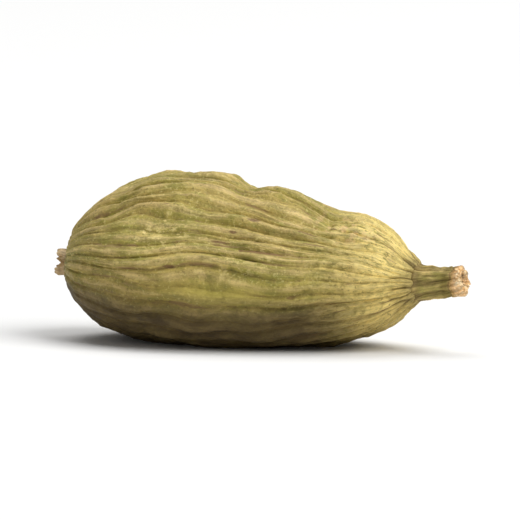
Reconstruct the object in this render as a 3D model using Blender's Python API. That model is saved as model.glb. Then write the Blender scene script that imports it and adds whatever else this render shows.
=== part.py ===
"""A dried green cardamom pod lying on one of its three flattish sides.

It is three pieces: the husk, the stub of the stalk that it grew on, and the withered foot of its flower.
Metres, +Z up. The pod's length runs along X, with the stalk at +X and the flower at -X. The origin is on the
surface that the pod rests on, under the middle of the pod's bounding box.

Each piece is a UV sphere whose poles lie on the pod's length. Its rings are set along an outline, and its
meridians run along the ribs of the dried husk.
"""

import math

import bmesh
import bpy
import numpy as np

MM = 0.001

# Driving dimensions
HUSK_LENGTH = 15.95 * MM
HUSK_RADIUS = 3.86 * MM
RIBS = 36
STALK_OUT = 2.20 * MM
STALK_RADIUS = 0.70 * MM
FLOWER_OUT = 0.70 * MM
FLOWER_RADIUS = 0.62 * MM
GAP = 0.05 * MM

# The husk's outline, as distance from the flower end and radius, from one seat to the other
DIMPLE_RADIUS = FLOWER_RADIUS + 0.08 * MM
DIMPLE_FLOOR = 0.24 * MM
SOCKET_RADIUS = STALK_RADIUS + 0.06 * MM
SOCKET_FLOOR = HUSK_LENGTH - 0.34 * MM
HUSK_OUTLINE = (
    (DIMPLE_FLOOR, 0.0),
    (DIMPLE_FLOOR, DIMPLE_RADIUS - 0.06 * MM),
    (0.12 * MM, DIMPLE_RADIUS),
    (0.0, DIMPLE_RADIUS + 0.26 * MM),
    (0.30 * MM, 1.75 * MM),
    (1.25 * MM, 2.70 * MM),
    (2.90 * MM, 3.52 * MM),
    (5.10 * MM, HUSK_RADIUS),
    (7.30 * MM, HUSK_RADIUS),
    (9.50 * MM, 3.56 * MM),
    (11.8 * MM, 3.08 * MM),
    (13.4 * MM, 2.62 * MM),
    (14.6 * MM, 2.04 * MM),
    (15.3 * MM, 1.42 * MM),
    (15.8 * MM, 1.02 * MM),
    (HUSK_LENGTH, SOCKET_RADIUS + 0.06 * MM),
    (SOCKET_FLOOR + 0.15 * MM, SOCKET_RADIUS),
    (SOCKET_FLOOR, SOCKET_RADIUS - 0.06 * MM),
    (SOCKET_FLOOR, 0.0),
)
HUSK_MERIDIANS = 4 * RIBS
HUSK_RINGS = 40
END_CLOSENESS = 0.25

# Three rounded corners, one of them up and a little to the back
CORNER_TURN = math.radians(76)
CORNER_SHARE = 0.090
SEAM_DEPTH = 0.10 * MM
SEAM_WIDTH = 0.09

# The flat spot under the belly, and the husk's middle line, which drops a little towards the stalk
SPOT_DEPTH = 0.26 * MM
MIDDLE_HEIGHT = HUSK_RADIUS * (1 - CORNER_SHARE) - SPOT_DEPTH
STALK_HEIGHT = 2.96 * MM
DROP_FROM = 3.0 * MM
DROP_TO = 11.0 * MM

# What the seeds press out, and dents between them: distance along, turn, depth, half length, half turn.
# The last one is a fold along the front, which stands out.
LUMP_HEIGHT = 0.11 * MM
LUMP_SPACING = 4.6 * MM
DENTS = (
    (8.15 * MM, math.radians(84), 0.40 * MM, 0.80 * MM, math.radians(34)),
    (12.1 * MM, math.radians(90), 0.36 * MM, 1.10 * MM, math.radians(40)),
    (2.60 * MM, math.radians(96), 0.14 * MM, 0.70 * MM, math.radians(30)),
    (4.80 * MM, math.radians(152), 0.16 * MM, 1.50 * MM, math.radians(20)),
    (9.80 * MM, math.radians(148), 0.14 * MM, 1.80 * MM, math.radians(18)),
    (12.6 * MM, math.radians(186), 0.12 * MM, 1.00 * MM, math.radians(20)),
    (6.80 * MM, math.radians(22), 0.20 * MM, 2.20 * MM, math.radians(22)),
    (11.9 * MM, math.radians(14), 0.12 * MM, 1.10 * MM, math.radians(20)),
    (7.20 * MM, math.radians(191), -0.14 * MM, 3.40 * MM, math.radians(11)),
)

# Ribs: each has a crest, and a furrow beside it that may fill up until two ribs are one
CREST_HEIGHT = 0.17 * MM
CREST_CHANGE = 0.75
CREST_LOWEST = 0.25
FURROW_HEIGHT = 0.03 * MM
FURROW_CHANGE = 2.4
RIB_ROUNDNESS = 1.25
ROUNDNESS_CHANGE = 0.5
RIB_SWAY = 0.40
RIB_SPREAD = 0.22

# The stalk's outline, as distance from its foot and radius
STALK_FOOT = SOCKET_FLOOR + GAP
STALK_LENGTH = HUSK_LENGTH + STALK_OUT - STALK_FOOT
STALK_OUTLINE = (
    (0.0, 0.0),
    (0.0, STALK_RADIUS - 0.12 * MM),
    (0.08 * MM, STALK_RADIUS - 0.03 * MM),
    (0.26 * MM, STALK_RADIUS - 0.01 * MM),
    (0.42 * MM, STALK_RADIUS + 0.07 * MM),
    (0.80 * MM, STALK_RADIUS + 0.01 * MM),
    (1.30 * MM, STALK_RADIUS - 0.03 * MM),
    (1.90 * MM, STALK_RADIUS - 0.05 * MM),
    (2.20 * MM, STALK_RADIUS),
    (STALK_LENGTH - 0.10 * MM, STALK_RADIUS - 0.03 * MM),
    (STALK_LENGTH, STALK_RADIUS - 0.18 * MM),
    (STALK_LENGTH - 0.06 * MM, STALK_RADIUS - 0.34 * MM),
    (STALK_LENGTH - 0.26 * MM, STALK_RADIUS - 0.48 * MM),
    (STALK_LENGTH - 0.28 * MM, 0.0),
)
STALK_FLUTES = 7
STALK_FLUTE_SHARE = 0.06
STALK_LUMP_SHARE = 0.05
STALK_TWIST = 1.2 / MM
STALK_BEND = 0.20 * MM
STALK_MERIDIANS = 28
STALK_RINGS = 24

# The flower foot's outline, as distance from the husk's flower end and radius
FLOWER_SEAT = DIMPLE_FLOOR - GAP
FLOWER_OUTLINE = (
    (-0.26 * MM, 0.0),
    (-0.30 * MM, FLOWER_RADIUS - 0.38 * MM),
    (0.06 * MM - FLOWER_OUT, FLOWER_RADIUS - 0.24 * MM),
    (-FLOWER_OUT, FLOWER_RADIUS - 0.12 * MM),
    (0.10 * MM - FLOWER_OUT, FLOWER_RADIUS),
    (-0.22 * MM, FLOWER_RADIUS - 0.10 * MM),
    (0.0, FLOWER_RADIUS - 0.05 * MM),
    (FLOWER_SEAT, FLOWER_RADIUS - 0.12 * MM),
    (FLOWER_SEAT, 0.0),
)
FLOWER_LOBE_SPACING = 1.25
FLOWER_NOTCH = 0.34 * MM
FLOWER_PLEAT_SPACING = 1.1
FLOWER_PLEAT_SHARE = 0.11
FLOWER_MERIDIANS = 40
FLOWER_RINGS = 20

HUSK_GREEN = (0.40, 0.32, 0.10, 1.0)
STALK_GREEN = (0.34, 0.25, 0.08, 1.0)
FLOWER_TAN = (0.42, 0.28, 0.13, 1.0)
SHARP_ANGLE = math.radians(30)


def clear_scene():
    for thing in list(bpy.data.objects):
        bpy.data.objects.remove(thing, do_unlink=True)


def smooth_step(low, high, value):
    """0 below low, 1 above high, and a smooth rise between them."""
    share = np.clip((value - low) / (high - low), 0.0, 1.0)
    return share * share * (3.0 - 2.0 * share)


def ripples(points, spacing, seed, waves=14):
    """A smooth random field of about -1 to 1: plane waves of one length in random directions."""
    draw = np.random.default_rng(seed)
    ways = draw.normal(size=(3, waves))
    ways *= 2 * math.pi / spacing / np.linalg.norm(ways, axis=0)
    starts = draw.uniform(0, 2 * math.pi, waves)
    return np.sin(points @ ways + starts).sum(axis=1) / math.sqrt(2.0 * waves)


def rounded_outline(outline, points_per_span=24):
    """Points of a Catmull-Rom curve through the outline's own points."""
    own = np.array(outline)
    padded = np.vstack([2 * own[0] - own[1], own, 2 * own[-1] - own[-2]])
    share = np.linspace(0.0, 1.0, points_per_span, endpoint=False)[:, None]
    spans = []
    for before, start, end, after in zip(padded, padded[1:], padded[2:], padded[3:]):
        bend = 2 * before - 5 * start + 4 * end - after
        twist = 3 * start - before - 3 * end + after
        spans.append(start + 0.5 * share * (end - before + share * (bend + share * twist)))
    return np.vstack([*spans, own[-1:]])


def along_outline(outline, share):
    """Distance along and radius at shares 0 to 1 of an outline, paced so that thin ends get closer rings."""
    curve = rounded_outline(outline)
    steps = np.linalg.norm(np.diff(curve, axis=0), axis=1)
    pace = np.abs(curve[1:, 1]) + END_CLOSENESS * curve[:, 1].max()
    reached = np.concatenate([[0.0], np.cumsum(steps / pace)])
    reached /= reached[-1]
    along = np.interp(share, reached, curve[:, 0])
    radius = np.interp(share, reached, curve[:, 1])
    return along, np.maximum(radius, 0.0)


def round_the_axis(along, radius, turn):
    """Points at a distance along X and a radius from it. A quarter turn is up."""
    return np.stack([along, radius * np.cos(turn), radius * np.sin(turn)], axis=1)


def rib_relief(rib, along):
    """Height of the ribs. rib counts them round the husk and is whole on a crest."""
    crest = np.round(rib)
    furrow = np.floor(rib) + 0.5
    length = along / MM
    crest_place = np.stack([length, 20.0 * (crest % RIBS), 0.0 * length], axis=1)
    furrow_place = np.stack([length, 20.0 * (furrow % RIBS), 0.0 * length], axis=1)
    crest_change = CREST_CHANGE * ripples(crest_place, 5.0, seed=3)
    crest_height = CREST_HEIGHT * np.maximum(1.0 + crest_change, CREST_LOWEST)
    furrow_change = FURROW_CHANGE * ripples(furrow_place, 9.0, seed=4)
    furrow_height = FURROW_HEIGHT * np.maximum(1.0 + furrow_change, 0.0)
    roundness = RIB_ROUNDNESS * (1.0 + ROUNDNESS_CHANGE * ripples(crest_place, 7.0, seed=5))
    share = np.abs(2 * (rib - crest)) ** roundness
    return crest_height * (1 - share) + furrow_height * share


def husk_surface(share_along, share_around):
    """Points of the husk at shares of its outline and of the way round. The resting surface is at z = 0."""
    along, radius = along_outline(HUSK_OUTLINE, share_along)
    circle = 2 * math.pi * share_around
    fullness = radius / HUSK_RADIUS
    sway = RIB_SWAY * ripples(round_the_axis(along / (9.0 * MM), 1.0, circle), 0.9, seed=2)
    sway += RIB_SPREAD * ripples(round_the_axis(along / (12.0 * MM), 1.0, circle), 0.4, seed=6)
    turn = circle + 2 * math.pi / RIBS * sway

    corner = np.cos(3 * (turn - CORNER_TURN))
    shaped = radius * (1 + CORNER_SHARE * fullness**0.4 * corner)
    shaped -= SEAM_DEPTH * fullness**2 * np.exp(-(((1 + corner) / SEAM_WIDTH) ** 2))

    shaped += LUMP_HEIGHT * fullness * ripples(round_the_axis(along, radius, turn), LUMP_SPACING, seed=11)
    for place, centre, depth, half_length, half_turn in DENTS:
        aside = (turn - centre + math.pi) % (2 * math.pi) - math.pi
        shaped -= depth * np.exp(-(((along - place) / half_length) ** 2) - (aside / half_turn) ** 2)

    outside = smooth_step(SOCKET_RADIUS, SOCKET_RADIUS + 0.6 * MM, radius)
    relief = rib_relief(share_around * RIBS, along) - CREST_HEIGHT
    shaped += outside * fullness**0.6 * relief

    points = round_the_axis(along, shaped, turn)
    drop = (MIDDLE_HEIGHT - STALK_HEIGHT) * smooth_step(DROP_FROM, DROP_TO, along)
    points[:, 2] = np.maximum(points[:, 2] + MIDDLE_HEIGHT - drop, 0.0)
    return points


def stalk_surface(share_along, share_around):
    """Points of the stalk stub, fluted and a little bent, with a pit in its broken end."""
    along, radius = along_outline(STALK_OUTLINE, share_along)
    turn = 2 * math.pi * share_around
    out = smooth_step(0.30 * MM, 0.80 * MM, along)
    flute = STALK_FLUTE_SHARE * np.cos(STALK_FLUTES * turn + STALK_TWIST * along)
    lumps = STALK_LUMP_SHARE * ripples(round_the_axis(along, radius, turn), 1.6 * MM, seed=21)
    shaped = radius * (1 + out * (flute + lumps))
    bent = STALK_BEND * (along / STALK_LENGTH) ** 2
    points = round_the_axis(STALK_FOOT + along, shaped, turn)
    points[:, 1] -= bent
    points[:, 2] += STALK_HEIGHT + bent
    return points


def flower_surface(share_along, share_around):
    """Points of the withered flower's foot: a pleated cup with a torn rim."""
    along, radius = along_outline(FLOWER_OUTLINE, share_along)
    turn = 2 * math.pi * share_around
    out = smooth_step(0.0, FLOWER_OUT, -along)
    circle = round_the_axis(0.0 * along, 1.0, turn)
    notch = smooth_step(-0.5, 1.1, ripples(circle, FLOWER_LOBE_SPACING, seed=31))
    torn = FLOWER_NOTCH * out * notch * smooth_step(0.0, 0.3 * MM, radius)
    pleat = ripples(circle, FLOWER_PLEAT_SPACING, seed=32)
    shaped = radius * (1 + FLOWER_PLEAT_SHARE * (0.3 + out) * pleat)
    points = round_the_axis(along + torn, shaped, turn)
    points[:, 2] += MIDDLE_HEIGHT
    return points


def plain_material(name, colour, roughness):
    material = bpy.data.materials.new(name)
    material.use_nodes = True
    shader = material.node_tree.nodes["Principled BSDF"]
    shader.inputs["Base Color"].default_value = colour
    shader.inputs["Roughness"].default_value = roughness
    shader.inputs["Metallic"].default_value = 0.0
    return material


def sculpted_sphere(name, meridians, rings, surface, material, collection):
    """A UV sphere with its poles along X, each of its points moved to where surface puts it."""
    ball = bmesh.new()
    bmesh.ops.create_uvsphere(ball, u_segments=meridians, v_segments=rings, radius=1.0)
    unit = np.array([vertex.co for vertex in ball.verts])
    ring = np.round(np.arccos(np.clip(unit[:, 2], -1.0, 1.0)) / math.pi * rings)
    meridian = np.round(np.arctan2(unit[:, 1], unit[:, 0]) / (2 * math.pi) * meridians)
    points = surface(1 - ring / rings, meridian / meridians % 1.0)
    for vertex, point in zip(ball.verts, points):
        vertex.co = point
    mesh = bpy.data.meshes.new(name)
    ball.to_mesh(mesh)
    ball.free()
    mesh.shade_smooth()
    mesh.set_sharp_from_angle(angle=SHARP_ANGLE)
    mesh.materials.append(material)
    piece = bpy.data.objects.new(name, mesh)
    collection.objects.link(piece)
    return piece


def make_husk(collection):
    material = plain_material("husk_green", HUSK_GREEN, 0.55)
    return sculpted_sphere("husk", HUSK_MERIDIANS, HUSK_RINGS, husk_surface, material, collection)


def make_stalk(collection):
    material = plain_material("stalk_green", STALK_GREEN, 0.7)
    return sculpted_sphere("stalk", STALK_MERIDIANS, STALK_RINGS, stalk_surface, material, collection)


def make_flower_foot(collection):
    material = plain_material("flower_tan", FLOWER_TAN, 0.8)
    return sculpted_sphere("flower_foot", FLOWER_MERIDIANS, FLOWER_RINGS, flower_surface, material, collection)


def centre_on_origin(pieces):
    """Moves the pieces so that, seen from above, the middle of their bounding box is at the origin."""
    corners = np.array([vertex.co for piece in pieces for vertex in piece.data.vertices])
    middle = (corners.min(axis=0) + corners.max(axis=0)) / 2
    for piece in pieces:
        piece.location = (-middle[0], -middle[1], 0.0)


def main():
    clear_scene()
    collection = bpy.data.collections.new("cardamom_pod")
    bpy.context.scene.collection.children.link(collection)
    centre_on_origin([make_husk(collection), make_stalk(collection), make_flower_foot(collection)])


main()
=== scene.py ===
"""The looks of a dried green cardamom pod: a ribbed, fibrous husk, a stalk stub and a flower foot.

Each piece repeats the outline of its CAD node in a much finer mesh, and adds the detail that is too small
for it. Metres, +Z up, with the pod's length along X and the stalk at +X.
"""

import math

import bpy
import numpy as np
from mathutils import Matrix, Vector


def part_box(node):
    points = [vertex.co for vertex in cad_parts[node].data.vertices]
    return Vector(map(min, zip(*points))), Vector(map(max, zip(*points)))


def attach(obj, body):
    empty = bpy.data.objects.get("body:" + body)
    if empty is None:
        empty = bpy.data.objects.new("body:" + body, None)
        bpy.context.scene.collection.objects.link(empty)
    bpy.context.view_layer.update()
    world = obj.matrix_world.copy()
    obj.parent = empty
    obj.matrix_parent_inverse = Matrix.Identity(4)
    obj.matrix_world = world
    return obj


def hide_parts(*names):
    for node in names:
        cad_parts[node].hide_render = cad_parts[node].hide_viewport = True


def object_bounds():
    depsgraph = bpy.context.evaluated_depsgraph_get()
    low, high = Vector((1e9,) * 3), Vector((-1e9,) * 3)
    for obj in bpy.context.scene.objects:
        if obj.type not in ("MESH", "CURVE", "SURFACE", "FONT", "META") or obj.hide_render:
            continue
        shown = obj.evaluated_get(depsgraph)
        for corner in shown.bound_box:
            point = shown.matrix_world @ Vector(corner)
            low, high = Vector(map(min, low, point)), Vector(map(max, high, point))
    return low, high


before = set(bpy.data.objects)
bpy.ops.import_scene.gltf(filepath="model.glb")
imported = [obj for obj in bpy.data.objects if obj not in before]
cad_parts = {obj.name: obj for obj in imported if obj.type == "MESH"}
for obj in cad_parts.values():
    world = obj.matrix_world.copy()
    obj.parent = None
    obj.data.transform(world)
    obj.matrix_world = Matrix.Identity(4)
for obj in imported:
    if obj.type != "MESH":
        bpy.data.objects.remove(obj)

MM = 0.001
CAD_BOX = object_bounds()

# Driving dimensions, as in the CAD
HUSK_LENGTH = 15.95 * MM
HUSK_RADIUS = 3.86 * MM
RIBS = 36
STALK_OUT = 2.20 * MM
STALK_RADIUS = 0.70 * MM
FLOWER_OUT = 0.70 * MM
FLOWER_RADIUS = 0.62 * MM
GAP = 0.05 * MM

# The husk's outline, as distance from the flower end and radius. Its ends close round the stalk and the
# flower foot, where the CAD leaves a gap
DIMPLE_RADIUS = FLOWER_RADIUS - 0.12 * MM
DIMPLE_FLOOR = 0.24 * MM
SOCKET_RADIUS = STALK_RADIUS - 0.03 * MM
SOCKET_FLOOR = HUSK_LENGTH - 0.34 * MM
HUSK_OUTLINE = (
    (DIMPLE_FLOOR, 0.0),
    (DIMPLE_FLOOR, DIMPLE_RADIUS - 0.06 * MM),
    (0.12 * MM, DIMPLE_RADIUS),
    (0.0, DIMPLE_RADIUS + 0.38 * MM),
    (0.30 * MM, 1.75 * MM),
    (1.25 * MM, 2.70 * MM),
    (2.90 * MM, 3.52 * MM),
    (5.10 * MM, HUSK_RADIUS),
    (7.30 * MM, HUSK_RADIUS),
    (9.50 * MM, 3.56 * MM),
    (11.8 * MM, 3.08 * MM),
    (13.4 * MM, 2.62 * MM),
    (14.6 * MM, 2.04 * MM),
    (15.3 * MM, 1.42 * MM),
    (15.8 * MM, 1.02 * MM),
    (HUSK_LENGTH, SOCKET_RADIUS + 0.09 * MM),
    (SOCKET_FLOOR + 0.15 * MM, SOCKET_RADIUS),
    (SOCKET_FLOOR, SOCKET_RADIUS - 0.06 * MM),
    (SOCKET_FLOOR, 0.0),
)
CAD_MERIDIANS = 4 * RIBS
CAD_RINGS = 40
HUSK_MERIDIANS = 12 * RIBS
HUSK_RINGS = 230
END_CLOSENESS = 0.25

# Three rounded corners, one of them up and a little to the back, and a seam down each side between them.
# The corners fade where the husk gets thin
CORNER_TURN = math.radians(76)
CORNER_SHARE = 0.090
CORNER_FADE = 0.4
SEAM_DEPTH = 0.10 * MM
SEAM_WIDTH = 0.09

# The flat spot under the belly, and the husk's middle line, which drops a little towards the stalk
SPOT_DEPTH = 0.26 * MM
MIDDLE_HEIGHT = HUSK_RADIUS * (1 - CORNER_SHARE) - SPOT_DEPTH
STALK_HEIGHT = 2.96 * MM
DROP_STRETCH = (3.0 * MM, 11.0 * MM)

# What the seeds press out, and dents between them: distance along, turn, depth, half length, half turn.
# The last one is a fold along the front, which stands out
LUMP_HEIGHT = 0.11 * MM
LUMP_SPACING = 4.6 * MM
SEED_BUMP = 0.050 * MM
SEED_SPACING = 2.1 * MM
DENTS = (
    (8.15 * MM, math.radians(84), 0.40 * MM, 0.80 * MM, math.radians(34)),
    (12.1 * MM, math.radians(90), 0.36 * MM, 1.10 * MM, math.radians(40)),
    (2.60 * MM, math.radians(96), 0.14 * MM, 0.70 * MM, math.radians(30)),
    (4.80 * MM, math.radians(152), 0.16 * MM, 1.50 * MM, math.radians(20)),
    (9.80 * MM, math.radians(148), 0.14 * MM, 1.80 * MM, math.radians(18)),
    (12.6 * MM, math.radians(186), 0.12 * MM, 1.00 * MM, math.radians(20)),
    (6.80 * MM, math.radians(22), 0.20 * MM, 2.20 * MM, math.radians(22)),
    (11.9 * MM, math.radians(14), 0.12 * MM, 1.10 * MM, math.radians(20)),
    (7.20 * MM, math.radians(191), -0.14 * MM, 3.40 * MM, math.radians(11)),
)

# Ribs: each has a crest, and a furrow beside it that may fill up until two ribs are one. Neighbours lie far
# apart in the random fields, so that each changes on its own. Here and below, a spacing without MM is in
# millimetres over the skin, or in radii where the field goes round a circle
CREST_HEIGHT = 0.17 * MM
CREST_CHANGE = 0.75
CREST_SPACING = 5.0
CREST_LOWEST = 0.25
CREST_BLUNTNESS = 0.30
BEADING = 0.25
BEAD_SPACING = 1.3
FURROW_HEIGHT = 0.03 * MM
FURROW_CHANGE = 2.4
FURROW_SPACING = 9.0
RIB_ROUNDNESS = 1.25
ROUNDNESS_CHANGE = 0.5
ROUNDNESS_SPACING = 7.0
RIB_FADE = 0.6
RIB_START = (SOCKET_RADIUS, SOCKET_RADIUS + 0.6 * MM)
APART = 20.0

# How far the ribs sway and spread as they run along the pod, and how far their fibres wander, all in ribs
RIB_SWAY = 0.40
SWAY_LENGTH = 9.0 * MM
SWAY_SPACING = 0.9
RIB_SPREAD = 0.22
SPREAD_LENGTH = 12.0 * MM
SPREAD_SPACING = 0.4
FIBRE_WANDER = 0.20
WANDER_SPACING = 1.6

# Fine relief on the ribs
DETAIL_AT_ENDS = 0.30
LINE_SHARPNESS = 2.2
STRANDS = 3
STRAND_HEIGHT = 0.034 * MM
STRAND_CHANGE = 1.2
STRAND_SPACING = 2.6
STRAND_LOWEST = 0.1
STRAND_ROUNDNESS = 1.7
VEIN_HEIGHT = 0.030 * MM
VEIN_SPACING = 1.0
WRINKLE_HEIGHT = 0.034 * MM
WRINKLE_SPACING = 0.44
WRINKLED_SPACING = 3.0
WRINKLED_RANGE = (-0.5, 0.6)
PIT_DEPTH = 0.020 * MM
PIT_SPACING = 0.34
SCAR_DEPTH = 0.05 * MM

# Where the ribs run together at the ends: creases between a few pleats, and a wavy rim round the stalk
CREASE_DEPTH = 0.12 * MM
CREASE_SPACING = 0.50
CREASE_LENGTH = 2.0 * MM
CREASE_START = (FLOWER_RADIUS - 0.05 * MM, FLOWER_RADIUS + 0.15 * MM)
CREASE_END = (2.3 * MM, 1.1 * MM)
RIM_WAVE = 0.10 * MM
RIM_SPACING = 0.7
RIM_RADII = (1.3 * MM, SOCKET_RADIUS + 0.1 * MM)
RIM_SHARES = (0.5, 1.0)

# Crinkles on the upper side near the stalk: distance along, turn, half length, half width
CRINKLED = (12.9 * MM, math.radians(112), 1.7 * MM, 1.4 * MM)
CRINKLE_HEIGHT = 0.080 * MM
CRINKLE_SPACING = 0.9
SMALL_CRINKLE_SHARE = 0.7
SMALL_CRINKLE_SPACING = 0.45

# Brown scars that the photograph shows: distance along, turn, half length, half width
SCARS = (
    (9.85 * MM, math.radians(155), 0.80 * MM, 0.09 * MM),
    (9.40 * MM, math.radians(146), 0.50 * MM, 0.08 * MM),
    (7.85 * MM, math.radians(150), 0.40 * MM, 0.07 * MM),
    (11.5 * MM, math.radians(129), 0.45 * MM, 0.09 * MM),
    (12.4 * MM, math.radians(119), 0.65 * MM, 0.08 * MM),
    (11.9 * MM, math.radians(141), 0.50 * MM, 0.06 * MM),
    (9.05 * MM, math.radians(127), 0.25 * MM, 0.10 * MM),
    (13.9 * MM, math.radians(120), 0.25 * MM, 0.12 * MM),
)

# Small brown specks: the stretch of the pod that has them, and the least and the most of each one's half
# length and half width, in millimetres, and of its strength
SPECKS = 60
SPECK_STRETCH = (0.6 * MM, HUSK_LENGTH - 0.8 * MM)
SPECK_HALF_LENGTH = (0.06, 0.28)
SPECK_HALF_WIDTH = (0.05, 0.10)
SPECK_STRENGTH = (0.5, 1.0)

# Where the husk is most speckled: distance along, turn, half length, half width
SPECKLED = (
    (5.2 * MM, math.radians(153), 1.1 * MM, 1.2 * MM),
    (13.4 * MM, math.radians(150), 1.7 * MM, 2.6 * MM),
    (12.9 * MM, math.radians(212), 1.2 * MM, 1.2 * MM),
)
SPECKLE_SPACING = 3.4 * MM
SPECKLE_SHARE = 0.7
SPECKLE_RANGE = (0.0, 1.2)

# A yellow fold along the front, and a patch of painted shade beside the stalk: distance along, turn, half
# length and half width
FOLD = (8.2 * MM, math.radians(186), 2.6 * MM, 0.40 * MM)
PAINTED_SHADE_PATCH = (13.5 * MM, math.radians(157), 0.8 * MM, 1.5 * MM)
PAINTED_SHADE_SHARE = 0.75

# The belly, brown and darkened further as painted shade, and the lower side, dimmed as painted shade: where
# each starts and where it is full, as the sine of the turn. They reach a little higher at the front, and
# the belly's brown and painted shade fade towards the stalk
LOW_SIDE_TILT = 0.12
BELLY_RANGE = (-0.21, -0.58)
BELLY_FADE = (15.2 * MM, 11.0 * MM)
PAINTED_SHADE_RANGE = (0.25, -0.35)

# The radii between which the husk's ends turn brown
BROWN_END_RADII = (1.6 * MM, 0.7 * MM)

# The stalk's outline, as distance from its foot and radius
STALK_FOOT = SOCKET_FLOOR + GAP
STALK_LENGTH = HUSK_LENGTH + STALK_OUT - STALK_FOOT
STALK_OUTLINE = (
    (0.0, 0.0),
    (0.0, STALK_RADIUS - 0.12 * MM),
    (0.12 * MM, STALK_RADIUS + 0.10 * MM),
    (0.28 * MM, STALK_RADIUS + 0.14 * MM),
    (0.42 * MM, STALK_RADIUS + 0.08 * MM),
    (0.80 * MM, STALK_RADIUS + 0.01 * MM),
    (1.30 * MM, STALK_RADIUS - 0.03 * MM),
    (1.90 * MM, STALK_RADIUS - 0.05 * MM),
    (2.20 * MM, STALK_RADIUS - 0.04 * MM),
    (STALK_LENGTH - 0.10 * MM, STALK_RADIUS - 0.07 * MM),
    (STALK_LENGTH, STALK_RADIUS - 0.20 * MM),
    (STALK_LENGTH - 0.06 * MM, STALK_RADIUS - 0.34 * MM),
    (STALK_LENGTH - 0.26 * MM, STALK_RADIUS - 0.48 * MM),
    (STALK_LENGTH - 0.28 * MM, 0.0),
)
STALK_MERIDIANS = 210
STALK_RINGS = 180
STALK_FLUTES = 7
STALK_FLUTE_SHARE = 0.06
STALK_FLUTE_START = (0.30 * MM, 0.80 * MM)
STALK_FLUTE_RADII = (0.0, STALK_RADIUS - 0.08 * MM)
STALK_LUMP_SHARE = 0.05
STALK_LUMP_SPACING = 1.6 * MM
STALK_TWIST = 1.2 / MM
STALK_BEND = 0.20 * MM

# The stalk's fibres, and creases across them
STALK_SIDE_RADII = (0.25 * MM, STALK_RADIUS - 0.15 * MM)
STALK_FIBRE_TWIST = 0.15
STALK_FIBRE_HEIGHT = 0.060 * MM
STALK_FIBRE_SPACING = 0.30
STALK_CREASE_HEIGHT = 0.4 * STALK_FIBRE_HEIGHT
STALK_CREASE_SPACING = 0.35

# The joint, the bands on both sides of it, and the stalk's dark core. All but the root are a little uneven
JOINT_PLACE = STALK_LENGTH - 0.62 * MM
JOINT_WIDTH = 0.05 * MM
JOINT_DEPTH = 0.03 * MM
JOINT_WAVE = 0.08 * MM
JOINT_WAVE_SPACING = 0.6
ROOT_BAND = (0.75 * MM, 0.25 * MM)
RING_PLACE = JOINT_PLACE - 0.20 * MM
RING_WIDTH = 0.20 * MM
TIP_BAND = (JOINT_PLACE, JOINT_PLACE + 0.12 * MM)
CAP_BAND = (JOINT_PLACE + 0.08 * MM, JOINT_PLACE + 0.32 * MM)
CORE_RADII = (STALK_RADIUS - 0.54 * MM, STALK_RADIUS - 0.30 * MM)
CORE_WAVE = 0.07 * MM
CORE_WAVE_SPACING = 0.3

# The stalk's end, torn off at a slant, so that its upper side is shorter
TORN_STRETCH = (STALK_LENGTH - 0.30 * MM, STALK_LENGTH - 0.10 * MM)
TEAR_HEIGHT = 0.085 * MM
TEAR_LEVEL = 0.5
TEAR_LUMP_SHARE = 0.8
TEAR_LUMP_SPACING = 0.42
TEAR_LINE_SHARE = 1.2
TEAR_LINE_SPACING = 0.20
SLANT_DEPTH = 0.22 * MM
SLANT_STRETCH = (-0.5 * STALK_RADIUS, STALK_RADIUS)

# The flower foot's outline, as distance from the husk's flower end and radius
FLOWER_SEAT = DIMPLE_FLOOR - GAP
FLOWER_OUTLINE = (
    (-0.42 * MM, 0.0),
    (-0.38 * MM, 0.12 * MM),
    (-0.22 * MM, 0.18 * MM),
    (-0.24 * MM, FLOWER_RADIUS - 0.26 * MM),
    (0.06 * MM - FLOWER_OUT, FLOWER_RADIUS - 0.17 * MM),
    (-FLOWER_OUT, FLOWER_RADIUS - 0.10 * MM),
    (0.08 * MM - FLOWER_OUT, FLOWER_RADIUS - 0.02 * MM),
    (-0.22 * MM, FLOWER_RADIUS - 0.10 * MM),
    (0.0, FLOWER_RADIUS - 0.05 * MM),
    (FLOWER_SEAT, FLOWER_RADIUS - 0.12 * MM),
    (FLOWER_SEAT, 0.0),
)
FLOWER_MERIDIANS = 300
FLOWER_RINGS = 180
FLOWER_PLEAT_SHARE = 0.11
FLOWER_PLEAT_AT_FOOT = 0.3
FLOWER_PLEAT_SPACING = 1.1
FLOWER_WALL_RADII = (0.0, 0.3 * MM)
FLOWER_CORE_RADII = (0.30 * MM, FLOWER_RADIUS - 0.14 * MM)
FLOWER_CRUMPLE = 0.030 * MM
FLOWER_CRUMPLE_SPACING = 0.42
FLOWER_STRAND_SPACING = 0.22

# The flower foot's rim: notches between its lobes, frayed all along, and split in a few places
NOTCH_DEPTH = 0.34 * MM
NOTCH_SPACING = 1.25
NOTCH_RANGE = (-0.5, 1.1)
FRAY_DEPTH = 0.09 * MM
FRAY_SPACING = 0.24
SPLIT_DEPTH = 0.20 * MM
SPLIT_SPACING = 0.42
SPLIT_RANGE = (0.75, 1.25)

# How far the noises are turned on each axis, so that their own grid doesn't line up with the fibres
NOISE_TURN = (0.5, 0.7, 0.6)

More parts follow.
